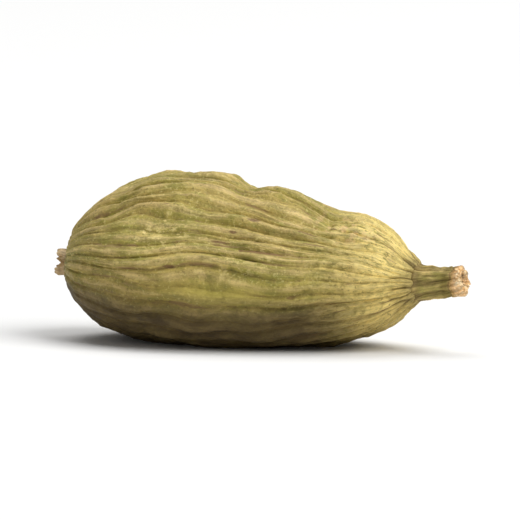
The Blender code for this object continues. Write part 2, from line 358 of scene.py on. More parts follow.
# The husk's colours. Where there are two, a noise mixes them
OLIVE = ((0.385, 0.320, 0.066, 1), (0.470, 0.355, 0.094, 1))
STRAW = (0.66, 0.505, 0.160, 1)
DARK_GREEN = (0.275, 0.258, 0.046, 1)
# Crest tan: partly the crests' own paler colour, partly a painted sheen
CREST_TAN_AND_SHEEN = (0.80, 0.590, 0.285, 1)
# Furrow brown: brown skin, darkened further as painted shade in the furrows
FURROW_BROWN_AND_SHADE = (0.250, 0.148, 0.056, 1)
# Yellow towards the stalk, also a painted highlight on that shoulder
STALK_SIDE_YELLOW_AND_HIGHLIGHT = (1.0, 0.785, 0.270, 1)
CRINKLE_OLIVE = (0.33, 0.29, 0.070, 1)
CRINKLE_TAN = (0.80, 0.54, 0.27, 1)
# Strand brown is painted shade between the strands
STRAND_SHADE_BROWN = (0.21, 0.155, 0.042, 1)
PORE_PALE = (0.80, 0.68, 0.26, 1)
PORE_DARK = (0.19, 0.150, 0.042, 1)
SPECKLE_PALE = (0.86, 0.70, 0.28, 1)
SPECKLE_DARK = (0.200, 0.182, 0.042, 1)
CRACK_BROWN = ((0.17, 0.095, 0.038, 1), (0.47, 0.31, 0.135, 1))
SCAR_BROWN = ((0.11, 0.058, 0.022, 1), (0.35, 0.21, 0.085, 1))
FOLD_YELLOW = (0.62, 0.52, 0.11, 1)
# Greys that dim the lower side and a patch beside the stalk, as painted shade
PAINTED_SHADE_GREYS = ((0.62, 0.60, 0.56, 1), (0.86, 0.84, 0.78, 1))
# Belly brown: brown skin, darkened further as painted shade under the pod
BELLY_BROWN_AND_SHADE = ((0.036, 0.022, 0.007, 1), (0.135, 0.088, 0.028, 1))
END_BROWN = ((0.13, 0.090, 0.028, 1), (0.50, 0.39, 0.125, 1))
# Crease brown is painted shade in the creases at the husk's ends
CREASE_SHADE_BROWN = (0.105, 0.066, 0.022, 1)

# The stalk's colours
STALK_OLIVE = ((0.37, 0.310, 0.085, 1), (0.60, 0.450, 0.160, 1))
ROOT_BROWN = ((0.13, 0.080, 0.028, 1), (0.50, 0.38, 0.13, 1))
# Flute and crease browns are painted shade in the stalk's flutes and creases
FLUTE_SHADE_BROWN = (0.15, 0.098, 0.030, 1)
STALK_CREASE_SHADE_BROWN = (0.12, 0.080, 0.026, 1)
RING_GREEN = (0.19, 0.145, 0.030, 1)
TIP_BROWN = ((0.36, 0.20, 0.060, 1), (0.66, 0.42, 0.165, 1))
CAP_TAN = ((0.74, 0.46, 0.20, 1), (1.0, 0.80, 0.50, 1))
CAP_ORANGE = (0.78, 0.44, 0.18, 1)
CORE_BROWN = ((0.090, 0.045, 0.020, 1), (0.42, 0.24, 0.105, 1))
JOINT_BROWN = (0.20, 0.105, 0.042, 1)

# The flower foot's colours
PAPER_CREAM = ((0.50, 0.33, 0.15, 1), (0.80, 0.62, 0.37, 1))
PAPER_ROOT = (0.24, 0.135, 0.055, 1)
PAPER_LINE = (0.30, 0.17, 0.070, 1)
PAPER_INSIDE = (0.11, 0.050, 0.022, 1)

# The photograph's view, and a frame a little wider than the pod
CAMERA_AZIMUTH = math.radians(20)
CAMERA_ELEVATION = math.radians(6.8)
CAMERA_DISTANCE = 0.62
FRAME_WIDTH = 22.5 * MM
SENSOR_WIDTH = 36.0

# Soft square lights: name, azimuth, elevation, size, watts. Azimuth 0 is the side of the pod at -Y
LIGHTS = (
    ("key_light", math.radians(80), math.radians(50), 0.46, 3.1),
    ("top_light", math.radians(210), math.radians(68), 0.45, 1.75),
)
LIGHT_DISTANCE = 0.60
ROOM_WHITE = (1.0, 1.0, 1.0, 1.0)
ROOM_STRENGTH = 0.235
FLOOR_SIZE = 6.0
FLOOR_WHITE = (0.91, 0.91, 0.905, 1.0)


def smooth_step(low, high, value):
    """0 below low, 1 above high, and a smooth rise between them. It falls where low is above high."""
    share = np.clip((value - low) / (high - low), 0.0, 1.0)
    return share * share * (3.0 - 2.0 * share)


def bell(*shares):
    """1 where every share is 0, and falling towards 0 as any of them passes 1 or -1."""
    return np.exp(-sum(share**2 for share in shares))


def ripples(points, spacing, seed, waves=14):
    """A smooth random field of about -1 to 1: plane waves of one length in random directions."""
    draw = np.random.default_rng(seed)
    ways = draw.normal(size=(3, waves))
    ways *= 2 * math.pi / spacing / np.linalg.norm(ways, axis=0)
    starts = draw.uniform(0, 2 * math.pi, waves)
    return np.sin(points @ ways + starts).sum(axis=1) / math.sqrt(2.0 * waves)


def raised_lines(points, spacing, seed):
    """0 to 1, and 1 on thin lines that fork and join: where a random field crosses zero."""
    return 1 - np.minimum(LINE_SHARPNESS * np.abs(ripples(points, spacing, seed, waves=40)), 1.0)


def squeezed(points, along=1.0, across=1.0):
    """Points nearer to each other along X or across it, so that a random field on them is stretched."""
    return points * (along, across, across)


def rounded_outline(outline, points_per_span=24):
    """Points of a Catmull-Rom curve through the outline's own points."""
    own = np.array(outline)
    padded = np.vstack([2 * own[0] - own[1], own, 2 * own[-1] - own[-2]])
    share = np.linspace(0.0, 1.0, points_per_span, endpoint=False)[:, None]
    spans = []
    for before, start, end, after in zip(padded, padded[1:], padded[2:], padded[3:]):
        bend = 2 * before - 5 * start + 4 * end - after
        twist = 3 * start - before - 3 * end + after
        spans.append(start + 0.5 * share * (end - before + share * (bend + share * twist)))
    return np.vstack([*spans, own[-1:]])


def along_outline(outline, share):
    """Places at shares 0 to 1 of an outline, paced so that thin ends get closer rings.

    Each is a distance along X, a radius, and the distance from the start as measured on the skin.
    """
    curve = rounded_outline(outline)
    steps = np.linalg.norm(np.diff(curve, axis=0), axis=1)
    pace = np.abs(curve[1:, 1]) + END_CLOSENESS * curve[:, 1].max()
    reached = np.concatenate([[0.0], np.cumsum(steps / pace)])
    reached /= reached[-1]
    along = np.interp(share, reached, curve[:, 0])
    radius = np.interp(share, reached, curve[:, 1])
    walked = np.interp(share, reached, np.concatenate([[0.0], np.cumsum(steps)]))
    return along, np.maximum(radius, 0.0), walked


def round_the_axis(along, radius, turn):
    """Points at a distance along X and a radius from it. A quarter turn is up."""
    return np.stack([along, radius * np.cos(turn), radius * np.sin(turn)], axis=1)


def turn_from(centre, turn):
    """Angle from the centre to each turn, the short way round."""
    return (turn - centre + math.pi) % (2 * math.pi) - math.pi


def spot(along, turn, place, centre, half_length, half_width):
    """1 in the middle of a spot on the husk, and 0 outside it."""
    return bell((along - place) / half_length, HUSK_RADIUS * turn_from(centre, turn) / half_width)


def own_line(along, number, count):
    """Places for a random field in which each of the count of ribs or strands has a line to itself."""
    return np.stack([along / MM, APART * (number % count), 0.0 * along], axis=1)


def three_sided(radius, turn):
    """The husk's radius with its three rounded corners, and the seam down each side between them."""
    fullness = radius / HUSK_RADIUS
    corner = np.cos(3 * (turn - CORNER_TURN))
    shaped = radius * (1 + CORNER_SHARE * fullness**CORNER_FADE * corner)
    return shaped - SEAM_DEPTH * fullness**2 * bell((1 + corner) / SEAM_WIDTH)


def lumps_and_dents(along, radius, turn, fine):
    """How far the seeds press the husk out, less the dents between them."""
    fullness = radius / HUSK_RADIUS
    body = round_the_axis(along, radius, turn)
    relief = LUMP_HEIGHT * fullness * ripples(body, LUMP_SPACING, seed=11)
    relief += fine * SEED_BUMP * fullness * ripples(body, SEED_SPACING, seed=12, waves=24)
    for place, centre, depth, half_length, half_turn in DENTS:
        relief -= depth * bell((along - place) / half_length, turn_from(centre, turn) / half_turn)
    return relief


def rib_turn(along, circle):
    """The turn that each point of a circle gets once the ribs sway and spread along the pod."""
    sway = RIB_SWAY * ripples(round_the_axis(along / SWAY_LENGTH, 1.0, circle), SWAY_SPACING, seed=2)
    spread_place = round_the_axis(along / SPREAD_LENGTH, 1.0, circle)
    sway += RIB_SPREAD * ripples(spread_place, SPREAD_SPACING, seed=6)
    return circle + 2 * math.pi / RIBS * sway


def fibre_wander(along, circle):
    """How far the fibres stray from their straight course, in ribs."""
    straight = round_the_axis(along / MM, HUSK_RADIUS / MM, circle)
    return FIBRE_WANDER * ripples(squeezed(straight, along=0.6), WANDER_SPACING, seed=17, waves=24)


def rib_relief(rib, along, fine):
    """Height of the ribs, and how near each point is to a crest. rib is whole on a crest."""
    crest = np.round(rib)
    crest_line = own_line(along, crest, RIBS)
    crest_change = CREST_CHANGE * ripples(crest_line, CREST_SPACING, seed=3)
    crest_change += fine * BEADING * ripples(crest_line, BEAD_SPACING, seed=15)
    crest_height = CREST_HEIGHT * np.maximum(1.0 + crest_change, CREST_LOWEST)
    furrow_line = own_line(along, np.floor(rib) + 0.5, RIBS)
    furrow_change = FURROW_CHANGE * ripples(furrow_line, FURROW_SPACING, seed=4)
    furrow_height = FURROW_HEIGHT * np.maximum(1.0 + furrow_change, 0.0)
    roundness_change = ROUNDNESS_CHANGE * ripples(crest_line, ROUNDNESS_SPACING, seed=5)
    roundness = RIB_ROUNDNESS * (1.0 + roundness_change)
    away = np.abs(2 * (rib - crest))
    blunt = fine * CREST_BLUNTNESS
    share = ((np.hypot(away, blunt) - blunt) / (math.hypot(1.0, blunt) - blunt)) ** roundness
    return crest_height * (1 - share) + furrow_height * share, 1 - away**roundness


def strand_relief(rib, walked):
    """0 to about 2: fine strands, a few to each rib, each with its own height along the pod."""
    strand = STRANDS * rib
    own = np.round(strand)
    change = STRAND_CHANGE * ripples(own_line(walked, own, STRANDS * RIBS), STRAND_SPACING, seed=8)
    return np.maximum(1.0 + change, STRAND_LOWEST) * (1 - np.abs(2 * (strand - own)) ** STRAND_ROUNDNESS)


def scar_marks(along, turn):
    """Where the husk is scarred: the scars that the photograph shows, and small specks all over."""
    scars = sum(spot(along, turn, *scar) for scar in SCARS)
    draw = np.random.default_rng(16)
    for _ in range(SPECKS):
        place = draw.uniform(*SPECK_STRETCH)
        centre = draw.uniform(0, 2 * math.pi)
        half_length = draw.uniform(*SPECK_HALF_LENGTH) * MM
        half_width = draw.uniform(*SPECK_HALF_WIDTH) * MM
        scars += draw.uniform(*SPECK_STRENGTH) * spot(along, turn, place, centre, half_length, half_width)
    return np.minimum(scars, 1.0)


def fine_relief(along, walked, rib, turn):
    """What is too small for the CAD: strands, veins, wrinkles, pits, scars and crinkles, and their marks.

    The fibre place is in millimetres over the skin and across its ribs, which it follows to both ends.
    """
    fibre = round_the_axis(walked / MM, HUSK_RADIUS / MM, rib * 2 * math.pi / RIBS)
    strands = strand_relief(rib, walked)
    veins = raised_lines(squeezed(fibre, along=0.13), VEIN_SPACING, seed=7)
    wrinkled = smooth_step(*WRINKLED_RANGE, ripples(fibre, WRINKLED_SPACING, seed=9))
    wrinkles = ripples(squeezed(fibre, across=0.40), WRINKLE_SPACING, seed=10, waves=40)
    pits = ripples(fibre, PIT_SPACING, seed=13, waves=60)
    scars = scar_marks(along, turn)
    crinkled = spot(along, turn, *CRINKLED)
    crinkles = ripples(squeezed(fibre, across=0.7), CRINKLE_SPACING, seed=18, waves=40)
    crinkles += SMALL_CRINKLE_SHARE * ripples(fibre, SMALL_CRINKLE_SPACING, seed=28, waves=40)
    relief = STRAND_HEIGHT * (strands - 0.5) + VEIN_HEIGHT * (veins - 0.5)
    relief += WRINKLE_HEIGHT * wrinkled * wrinkles + PIT_DEPTH * pits - SCAR_DEPTH * scars
    relief += CRINKLE_HEIGHT * crinkled * crinkles
    return relief, {"fibre": fibre, "strand": strands, "scar": scars, "crinkled": crinkled}


def end_creases(radius, circle):
    """0 to 1 near the husk's ends, where its ribs run together: sharp creases between a few pleats."""
    creases = raised_lines(round_the_axis(radius / CREASE_LENGTH, 1.0, circle), CREASE_SPACING, seed=19)
    return smooth_step(*CREASE_START, radius) * smooth_step(*CREASE_END, radius) * creases


def rim_wave(along, radius, circle):
    """How far the husk's rim round the stalk stands out along the pod."""
    rim = smooth_step(*RIM_RADII, radius) * smooth_step(*RIM_SHARES, along / HUSK_LENGTH)
    return RIM_WAVE * rim * ripples(round_the_axis(0.0 * along, 1.0, circle), RIM_SPACING, seed=20)


def husk_places(along, radius, turn):
    """Marks for parts of the husk: brown ends, fold and speckles, painted shade on the lower side, and a
    brown belly darkened further as painted shade.
    """
    sine = np.sin(turn + LOW_SIDE_TILT)
    # The belly: brown, darkened further as painted shade
    belly = smooth_step(*BELLY_RANGE, sine) * smooth_step(*BELLY_FADE, along)
    # Painted shade on the lower side and on a patch beside the stalk
    painted_shade = smooth_step(*PAINTED_SHADE_RANGE, sine) + PAINTED_SHADE_SHARE * spot(along, turn, *PAINTED_SHADE_PATCH)
    speckle_field = ripples(round_the_axis(along, radius, turn), SPECKLE_SPACING, seed=29)
    speckled = sum(spot(along, turn, *patch) for patch in SPECKLED)
    speckled += SPECKLE_SHARE * smooth_step(*SPECKLE_RANGE, speckle_field)
    return {
        "along": along / HUSK_LENGTH,
        "end": smooth_step(*BROWN_END_RADII, radius),
        "fold": spot(along, turn, *FOLD),
        "speckled": np.minimum(speckled, 1.0),
        "painted_shade": np.minimum(painted_shade, 1.0),
        "belly": belly,
    }


def husk_surface(share_along, share_around, fine=1.0):
    """Points of the husk at shares of its outline and of the way round, and the marks for its material.

    The resting surface is at z = 0. With fine at 0 the points are the CAD's, but for the ends' closer fit.
    """
    along, radius, walked = along_outline(HUSK_OUTLINE, share_along)
    circle = 2 * math.pi * share_around
    turn = rib_turn(along, circle)
    rib = share_around * RIBS + fine * fibre_wander(along, circle)
    ribs, crest = rib_relief(rib, along, fine)
    detail, marks = fine_relief(along, walked, rib, turn)
    creases = end_creases(radius, circle)

    fullness = radius / HUSK_RADIUS
    outside = smooth_step(*RIB_START, radius)
    shaped = three_sided(radius, turn) + lumps_and_dents(along, radius, turn, fine)
    shaped += outside * fullness**RIB_FADE * (ribs - CREST_HEIGHT)
    shaped += fine * outside * (DETAIL_AT_ENDS + (1 - DETAIL_AT_ENDS) * fullness) * detail
    shaped -= fine * CREASE_DEPTH * creases

    points = round_the_axis(along + fine * rim_wave(along, radius, circle), shaped, turn)
    drop = (MIDDLE_HEIGHT - STALK_HEIGHT) * smooth_step(*DROP_STRETCH, along)
    points[:, 2] = np.maximum(points[:, 2] + MIDDLE_HEIGHT - drop, 0.0)
    marks.update(husk_places(along, radius, turn))
    marks.update(crest=crest, crease=creases, skin=points / MM)
    return points, marks


def torn_end(along, across, height):
    """How far the stalk's torn end stands out or falls short at each point, and nothing elsewhere."""
    lumps = TEAR_LUMP_SHARE * ripples(across, TEAR_LUMP_SPACING, seed=24, waves=30)
    lines = TEAR_LINE_SHARE * raised_lines(across, TEAR_LINE_SPACING, seed=25)
    slant = SLANT_DEPTH * smooth_step(*SLANT_STRETCH, height)
    return smooth_step(*TORN_STRETCH, along) * (TEAR_HEIGHT * (lumps + lines - TEAR_LEVEL) - slant)


def stalk_bands(along, radius, across, uneven):
    """Marks for the stalk's bands: its root, the ring before the joint, and the tip, its cap and core."""
    tip = smooth_step(*TIP_BAND, uneven)
    ragged = radius + CORE_WAVE * ripples(across, CORE_WAVE_SPACING, seed=27, waves=30)
    return {
        "root": smooth_step(*ROOT_BAND, along),
        "ring": bell((uneven - RING_PLACE) / RING_WIDTH) * (1 - tip),
        "tip": tip,
        "cap": smooth_step(*CAP_BAND, uneven),
        "core": (1 - smooth_step(*CORE_RADII, ragged)) * tip,
    }


def stalk_surface(share_along, share_around):
    """Points and marks of the stalk stub, fluted, fibrous and a little bent, with a pit in its torn end."""
    along, radius, _ = along_outline(STALK_OUTLINE, share_along)
    turn = 2 * math.pi * share_around
    out = smooth_step(*STALK_FLUTE_START, along) * smooth_step(*STALK_FLUTE_RADII, radius)
    flute = np.cos(STALK_FLUTES * turn + STALK_TWIST * along)
    body = round_the_axis(along, radius, turn)
    lumps = STALK_LUMP_SHARE * ripples(body, STALK_LUMP_SPACING, seed=21)
    shaped = radius * (1 + out * (STALK_FLUTE_SHARE * flute + lumps))

    fibre = round_the_axis(along / MM, STALK_RADIUS / MM, turn + STALK_FIBRE_TWIST * along / MM)
    strands = raised_lines(squeezed(fibre, along=0.12), STALK_FIBRE_SPACING, seed=22)
    creases = ripples(squeezed(fibre, across=0.5), STALK_CREASE_SPACING, seed=23, waves=30)
    side = smooth_step(*STALK_SIDE_RADII, radius)
    shaped += side * (STALK_FIBRE_HEIGHT * (strands - 0.6) + STALK_CREASE_HEIGHT * creases)

    across = round_the_axis(0.0 * along, radius / MM, turn)
    uneven = along + JOINT_WAVE * ripples(across, JOINT_WAVE_SPACING, seed=26)
    joint = bell((uneven - JOINT_PLACE) / JOINT_WIDTH) * side
    shaped -= JOINT_DEPTH * joint
    reached = STALK_FOOT + along + torn_end(along, across, shaped * np.sin(turn))
    points = round_the_axis(reached, shaped, turn)
    bent = STALK_BEND * (along / STALK_LENGTH) ** 2
    points[:, 1] -= bent
    points[:, 2] += STALK_HEIGHT + bent
    marks = stalk_bands(along, radius, across, uneven)
    marks.update(fibre=fibre, crest=0.5 + 0.5 * flute, strand=strands, joint=joint, skin=points / MM)
    return points, marks


def torn_rim(out, circle):
    """How far the flower foot's rim falls short: notched between its lobes, frayed and split."""
    notch = smooth_step(*NOTCH_RANGE, ripples(circle, NOTCH_SPACING, seed=31))
    frayed = ripples(circle, FRAY_SPACING, seed=33, waves=30) - 0.3
    split = smooth_step(*SPLIT_RANGE, ripples(circle, SPLIT_SPACING, seed=36, waves=24))
    return NOTCH_DEPTH * out * notch + out**2 * (FRAY_DEPTH * frayed + SPLIT_DEPTH * split)


def flower_surface(share_along, share_around):
    """Points and marks of the withered flower's foot: a pleated, crumpled cup with a torn, frayed rim."""
    along, radius, _ = along_outline(FLOWER_OUTLINE, share_along)
    turn = 2 * math.pi * share_around
    out = smooth_step(0.0, FLOWER_OUT, -along)
    wall = smooth_step(*FLOWER_WALL_RADII, radius)
    circle = round_the_axis(0.0 * along, 1.0, turn)
    pleat = ripples(circle, FLOWER_PLEAT_SPACING, seed=32)
    shaped = radius * (1 + FLOWER_PLEAT_SHARE * (FLOWER_PLEAT_AT_FOOT + out) * pleat)

    fibre = round_the_axis(along / MM, FLOWER_RADIUS / MM, turn)
    crumple = ripples(squeezed(fibre, along=0.6), FLOWER_CRUMPLE_SPACING, seed=34, waves=30)
    strands = raised_lines(squeezed(fibre, along=0.12), FLOWER_STRAND_SPACING, seed=35)
    shaped += wall * FLOWER_CRUMPLE * (crumple + strands - 0.5)
    points = round_the_axis(along + wall * torn_rim(out, circle), shaped, turn)
    points[:, 2] += MIDDLE_HEIGHT
    core = 1 - smooth_step(*FLOWER_CORE_RADII, radius)
    return points, {"fibre": fibre, "strand": strands, "tip": out, "core": core}


def set_down():
    """How far the CAD moved its pieces to centre them on the origin, from its husk's lowest corner."""
    ring, meridian = np.meshgrid(np.arange(CAD_RINGS + 1), np.arange(CAD_MERIDIANS))
    points, _ = husk_surface(ring.ravel() / CAD_RINGS, meridian.ravel() / CAD_MERIDIANS, fine=0.0)
    return np.array(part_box("husk")[0]) - points.min(axis=0)


def add_mark(mesh, name, values):
    """Stores a number or a vector for each vertex, for a material's Attribute node."""
    kind, field = ("FLOAT_VECTOR", "vector") if values.ndim == 2 else ("FLOAT", "value")
    attribute = mesh.attributes.new(name, kind, "POINT")
    attribute.data.foreach_set(field, values.astype(np.float32).ravel())


def sphere_faces(meridians, rings):
    """A sphere's faces: quads, and triangles round each pole. The poles are its first and last points."""
    grid = 1 + np.arange((rings - 1) * meridians).reshape(rings - 1, meridians)
    beside = np.roll(grid, -1, axis=1)
    quads = np.stack([grid[:-1], beside[:-1], beside[1:], grid[1:]], axis=-1).reshape(-1, 4)
    last = (rings - 1) * meridians + 1
    start = [(0, after, before) for before, after in zip(grid[0], beside[0])]
    end = [(last, before, after) for before, after in zip(grid[-1], beside[-1])]
    return quads.tolist() + start + end


def sculpted_sphere(name, meridians, rings, surface, moved):
    """A sphere's mesh with its poles along X, each of its points where surface puts it, then moved."""
    ring = np.repeat(np.arange(1, rings), meridians)
    meridian = np.tile(np.arange(meridians), rings - 1)
    share_along = np.concatenate([[0.0], ring / rings, [1.0]])
    share_around = np.concatenate([[0.0], meridian / meridians, [0.0]])
    points, marks = surface(share_along, share_around)
    mesh = bpy.data.meshes.new(name)
    mesh.from_pydata(points + moved, [], sphere_faces(meridians, rings))
    for mark, values in marks.items():
        add_mark(mesh, mark, values)
    mesh.shade_smooth()
    return mesh


def add_piece(name, mesh, material, node):
    """Puts the mesh in the scene, in place of the CAD node whose slot has the same name."""
    mesh.materials.append(material)
    piece = bpy.data.objects.new(name, mesh)
    bpy.context.scene.collection.objects.link(piece)
    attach(piece, "root")
    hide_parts(node)


class Wiring:
    """A material's node tree, with short calls for the nodes used here. Each call returns its output."""

    def __init__(self, name):
        self.material = bpy.data.materials.new(name)
        self.material.use_nodes = True
        self.tree = self.material.node_tree
        self.shader = self.tree.nodes["Principled BSDF"]

    def put(self, socket, value):
        """Links another node's output to the socket, or sets the socket to a plain value."""
        if isinstance(value, bpy.types.NodeSocket):
            self.tree.links.new(value, socket)
        else:
            socket.default_value = value

    def node(self, kind, inputs, output=0, **settings):
        """A new node with its settings and inputs."""
        made = self.tree.nodes.new(kind)
        for name, value in settings.items():
            setattr(made, name, value)
        for name, value in inputs.items():
            self.put(made.inputs[name], value)
        return made.outputs[output]

    def mark(self, name):
        """A mark stored on the mesh, as a number."""
        return self.node("ShaderNodeAttribute", {}, output="Fac", attribute_name=name)

    def place(self, along, across=1.0):
        """The fibre place, stretched along and across the fibres, and turned."""
        fibre = self.node("ShaderNodeAttribute", {}, output="Vector", attribute_name="fibre")
        inputs = {"Vector": fibre, "Scale": (along, across, across), "Rotation": NOISE_TURN}
        return self.node("ShaderNodeMapping", inputs)

    def skin(self):
        """The place on the piece in millimetres, alike in all directions."""
        return self.node("ShaderNodeAttribute", {}, output="Vector", attribute_name="skin")

    def noise(self, place, scale, detail=3.0, roughness=0.5):
        """A noise of about 0.3 to 0.7. Its scale is in spots to the millimetre, before any stretch."""
        inputs = {"Vector": place, "Scale": scale, "Detail": detail, "Roughness": roughness}
        return self.node("ShaderNodeTexNoise", inputs)

    def rise(self, value, low, high, start=0.0, end=1.0):
        """A smooth rise from start to end while value goes from low to high."""
        inputs = {"Value": value, "From Min": low, "From Max": high, "To Min": start, "To Max": end}
        return self.node("ShaderNodeMapRange", inputs, interpolation_type="SMOOTHSTEP")

    def times(self, first, second):
        """The product of two numbers."""
        return self.node("ShaderNodeMath", {0: first, 1: second}, operation="MULTIPLY")

    def plus(self, first, second):
        """The sum of two numbers."""
        return self.node("ShaderNodeMath", {0: first, 1: second}, operation="ADD")

    def mix(self, share, first, second, blend="MIX"):
        """Colours first and second mixed by share."""
        inputs = {0: share, 6: first, 7: second}
        return self.node("ShaderNodeMix", inputs, output=2, data_type="RGBA", blend_type=blend)

    def varied(self, colour, noise, swing):
        """The colour made darker and lighter by a noise, by up to the swing."""
        return self.mix(1.0, colour, self.mix(noise, grey(1 - swing), grey(1 + swing)), blend="MULTIPLY")

    def bump(self, height, distance, strength, normal=None):
        """A bump as high as the distance, on top of the bumps that normal may already hold."""
        inputs = {"Height": height, "Distance": distance, "Strength": strength}
        if normal:
            inputs["Normal"] = normal
        return self.node("ShaderNodeBump", inputs)

    def finish(self, colour, roughness, normal, specular):
        """The material, once its shader has all that it needs."""
        self.put(self.shader.inputs["Base Color"], colour)
        self.put(self.shader.inputs["Roughness"], roughness)
        self.put(self.shader.inputs["Normal"], normal)
        self.shader.inputs["Specular IOR Level"].default_value = specular
        return self.material


def grey(level):
    """A grey as a colour with alpha."""
    return (level, level, level, 1.0)


def husk_ground(w, mottle):
    """Olive skin, with patches of straw and of a darker green."""
    patch = w.noise(w.place(0.8), 0.34, roughness=0.6)
    olive = w.mix(w.rise(patch, 0.40, 0.60), *OLIVE)
    straw = w.mix(w.rise(mottle, 0.50, 0.66, 0.0, 0.75), olive, STRAW)
    return w.mix(w.rise(mottle, 0.50, 0.34, 0.0, 0.75), straw, DARK_GREEN)


def husk_ribs(w, colour, mottle, spotted):
    """Paler crests, partly a painted sheen, and furrows made browner and darker as painted shade."""
    # Paler crests, partly a painted sheen
    pale = w.times(w.rise(w.mark("crest"), 0.45, 1.0, 0.0, 0.44), w.rise(mottle, 0.40, 0.60, 0.3, 1.0))
    crested = w.mix(pale, colour, CREST_TAN_AND_SHEEN)
    # Painted shade: the furrows darker and browner
    low = w.times(w.rise(w.mark("crest"), 0.45, 0.0, 0.0, 0.38), w.rise(spotted, 0.60, 0.40, 0.15, 1.0))
    return w.mix(low, crested, FURROW_BROWN_AND_SHADE)


def husk_stalk_side(w, colour, spotted):
    """Yellower and brighter towards the stalk, partly a painted highlight, where the crinkles have olive
    hollows and tan bumps.
    """
    # Yellower towards the stalk, partly a painted highlight on that shoulder
    near_stalk = w.rise(w.mark("along"), 0.70, 0.93, 0.0, 0.92)
    yellow_and_highlight = w.times(near_stalk, w.rise(spotted, 0.36, 0.56, 0.48, 1.0))
    yellowed_and_highlighted = w.mix(yellow_and_highlight, colour, STALK_SIDE_YELLOW_AND_HIGHLIGHT)
    hollow = w.times(w.mark("crinkled"), w.rise(spotted, 0.47, 0.37, 0.0, 0.60))
    hollowed = w.mix(hollow, yellowed_and_highlighted, CRINKLE_OLIVE)
    raised = w.times(w.mark("crinkled"), w.rise(w.noise(w.skin(), 2.3), 0.50, 0.62, 0.0, 0.75))
    return w.mix(raised, hollowed, CRINKLE_TAN)


def husk_fibres(w, colour, streak, grain):
    """Brown lines between the strands as painted shade, and streaks and grain along the fibres."""
    # Painted shade between the strands
    lined = w.mix(w.rise(w.mark("strand"), 0.35, 0.0, 0.0, 0.32), colour, STRAND_SHADE_BROWN)
    return w.varied(w.varied(lined, streak, 0.55), grain, 0.38)


def husk_speckles(w, colour, pores):
    """Pale and dark pores all over, and pale and dark speckles in some places."""
    dotted = w.mix(w.rise(pores, 0.56, 0.68, 0.0, 0.55), colour, PORE_PALE)
    pored = w.mix(w.rise(pores, 0.42, 0.32, 0.0, 0.60), dotted, PORE_DARK)
    speckles = w.noise(w.place(0.6), 3.7, detail=4.0, roughness=0.65)
    pale = w.times(w.mark("speckled"), w.rise(speckles, 0.53, 0.62, 0.0, 0.75))
    flecked = w.mix(pale, pored, SPECKLE_PALE)
    dark = w.times(w.mark("speckled"), w.rise(speckles, 0.46, 0.36, 0.0, 0.70))
    return w.mix(dark, flecked, SPECKLE_DARK)


def husk_scars(w, colour, streak, grain):
    """Brown cracks along the furrows, and brown scars with ragged edges."""
    cracks = w.noise(w.place(0.16), 2.9, detail=4.0, roughness=0.65)
    crack = w.times(w.rise(cracks, 0.56, 0.66), w.rise(w.mark("crest"), 0.10, 0.70, 0.90, 0.15))
    cracked = w.mix(crack, colour, w.mix(streak, *CRACK_BROWN))
    ragged = w.plus(w.rise(grain, 0.3, 0.7, -0.30, 0.30), w.rise(cracks, 0.35, 0.65, -0.45, 0.45))
    scar = w.times(w.plus(w.mark("scar"), ragged), w.rise(w.mark("scar"), 0.05, 0.40))
    return w.mix(w.rise(scar, 0.22, 0.80, 0.0, 0.88), cracked, w.mix(grain, *SCAR_BROWN))


def husk_low_side(w, colour, mottle, spotted):
    """A yellow fold along the front, painted shade on the skin below it, and a brown belly darkened further
    as painted shade.
    """
    fold = w.times(w.mark("fold"), w.rise(mottle, 0.35, 0.60, 0.3, 0.8))
    folded = w.mix(fold, colour, FOLD_YELLOW)
    # Painted shade dims the lower side
    with_painted_shade = w.mix(w.mark("painted_shade"), folded, w.mix(spotted, *PAINTED_SHADE_GREYS), blend="MULTIPLY")
    # The belly: brown, darkened further as painted shade
    belly = w.times(w.mark("belly"), w.rise(mottle, 0.35, 0.60, 1.0, 0.85))
    return w.mix(belly, with_painted_shade, w.mix(mottle, *BELLY_BROWN_AND_SHADE))


def husk_ends(w, colour, spotted, streak):
    """Streaky brown ends, with painted shade in their creases."""
    end = w.times(w.mark("end"), w.rise(spotted, 0.35, 0.60, 0.95, 0.55))
    ended = w.mix(end, colour, w.mix(streak, *END_BROWN))
    # Painted shade in the creases
    return w.mix(w.rise(w.mark("crease"), 0.25, 0.95, 0.0, 0.65), ended, CREASE_SHADE_BROWN)


def husk_material():
    """Pale olive skin, yellow towards the stalk with a painted highlight there, brown below with painted
    shade, with ribs, fibres, speckles and scars, and painted shade in furrows and creases.
    """
    w = Wiring("husk_skin")
    mottle = w.noise(w.place(0.35), 2.2, detail=5.0, roughness=0.7)
    spotted = w.noise(w.place(0.8), 3.6, roughness=0.6)
    streak = w.noise(w.place(0.06), 8.0, detail=4.0, roughness=0.65)
    grain = w.noise(w.place(0.6), 15.0, roughness=0.7)
    pores = w.noise(w.skin(), 7.0, roughness=0.65)

    colour = husk_ground(w, mottle)
    colour = husk_ribs(w, colour, mottle, spotted)
    colour = husk_stalk_side(w, colour, spotted)
    colour = husk_fibres(w, colour, streak, grain)
    colour = husk_speckles(w, colour, pores)
    colour = husk_scars(w, colour, streak, grain)
    colour = husk_low_side(w, colour, mottle, spotted)
    colour = husk_ends(w, colour, spotted, streak)

    dry_furrows = w.rise(w.mark("crest"), 0.4, 0.0, 0.0, 0.12)
    roughness = w.plus(w.rise(grain, 0.3, 0.7, 0.50, 0.68), dry_furrows)
    streaks = w.bump(streak, 0.07 * MM, 0.8)
    pits = w.bump(pores, 0.05 * MM, 0.7, streaks)
    return w.finish(colour, roughness, w.bump(grain, 0.030 * MM, 0.8, pits), specular=0.30)


